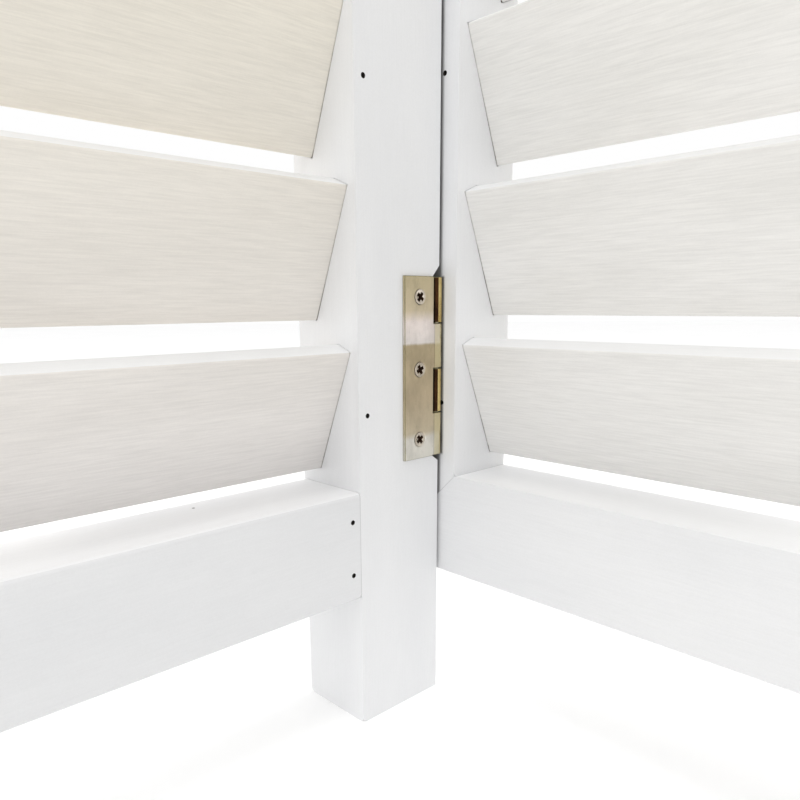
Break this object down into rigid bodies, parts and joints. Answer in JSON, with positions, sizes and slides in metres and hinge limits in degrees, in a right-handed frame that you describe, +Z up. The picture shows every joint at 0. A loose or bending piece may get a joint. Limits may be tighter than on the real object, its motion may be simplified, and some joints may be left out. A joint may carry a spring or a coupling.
{
  "type": "folding room divider screen",
  "caption": "Free-standing white louvred wooden screen: tall slatted panels hinged edge to face in a zigzag, standing on square feet.",
  "frame": {"origin": "centre of the footprint at floor level, with the screen standing in its right-angled zigzag", "axes": "+Z up; -Y towards the side from which the corner between the first two panels is open; +X from the first panel to the last"},
  "size_m": [1.2104, 0.3426, 1.678],
  "materials": {
    "frame_paint": "satin cool white paint over softwood",
    "slat_paint": "thin cream white paint with the grain showing",
    "hinge_brass": "pale satin brass plate",
    "screw_steel": "plated steel",
    "pin_steel": "plain steel",
    "brad_steel": "bright steel dulled by paint",
    "dowel_beech": "bare beech"
  },
  "bodies": {
    "panel_a": {"panel_a_stile_left": "frame_paint", "panel_a_stile_right": "frame_paint", "panel_a_rail_top": "frame_paint", "panel_a_rail_bottom": "frame_paint", "panel_a_slats": "slat_paint", "panel_a_brads": "brad_steel", "panel_a_dowels": "dowel_beech", "hinge_ab_1_leaf_a": "hinge_brass", "hinge_ab_2_leaf_a": "hinge_brass", "hinge_ab_3_leaf_a": "hinge_brass", "screws_ab_a": "screw_steel", "hinge_ab_pins": "pin_steel"},
    "panel_b": {"panel_b_stile_left": "frame_paint", "panel_b_stile_right": "frame_paint", "panel_b_rail_top": "frame_paint", "panel_b_rail_bottom": "frame_paint", "panel_b_slats": "slat_paint", "panel_b_brads": "brad_steel", "panel_b_dowels": "dowel_beech", "hinge_ab_1_leaf_b": "hinge_brass", "hinge_ab_2_leaf_b": "hinge_brass", "hinge_ab_3_leaf_b": "hinge_brass", "screws_ab_b": "screw_steel", "hinge_bc_1_leaf_b": "hinge_brass", "hinge_bc_2_leaf_b": "hinge_brass", "hinge_bc_3_leaf_b": "hinge_brass", "screws_bc_b": "screw_steel", "hinge_bc_pins": "pin_steel"},
    "panel_c": {"panel_c_stile_left": "frame_paint", "panel_c_stile_right": "frame_paint", "panel_c_rail_top": "frame_paint", "panel_c_rail_bottom": "frame_paint", "panel_c_slats": "slat_paint", "panel_c_brads": "brad_steel", "panel_c_dowels": "dowel_beech", "hinge_bc_1_leaf_c": "hinge_brass", "hinge_bc_2_leaf_c": "hinge_brass", "hinge_bc_3_leaf_c": "hinge_brass", "screws_bc_c": "screw_steel", "hinge_cd_1_leaf_c": "hinge_brass", "hinge_cd_2_leaf_c": "hinge_brass", "hinge_cd_3_leaf_c": "hinge_brass", "screws_cd_c": "screw_steel", "hinge_cd_pins": "pin_steel"},
    "panel_d": {"panel_d_stile_left": "frame_paint", "panel_d_stile_right": "frame_paint", "panel_d_rail_top": "frame_paint", "panel_d_rail_bottom": "frame_paint", "panel_d_slats": "slat_paint", "panel_d_brads": "brad_steel", "panel_d_dowels": "dowel_beech", "hinge_cd_1_leaf_d": "hinge_brass", "hinge_cd_2_leaf_d": "hinge_brass", "hinge_cd_3_leaf_d": "hinge_brass", "screws_cd_d": "screw_steel"}
  },
  "joints": [
    {"name": "fold_ab", "type": "hinge", "parent": "panel_a", "child": "panel_b", "pos_m": [-0.28747, 0.12583, 0.12635], "axis": [0, 0, -1], "range_deg": [0, 90]},
    {"name": "fold_bc", "type": "hinge", "parent": "panel_b", "child": "panel_c", "pos_m": [0.00972, -0.12583, 0.12635], "axis": [0, 0, 1], "range_deg": [0, 90]},
    {"name": "fold_cd", "type": "hinge", "parent": "panel_c", "child": "panel_d", "pos_m": [0.30692, 0.12583, 0.12635], "axis": [0, 0, -1], "range_deg": [0, 90]}
  ]
}
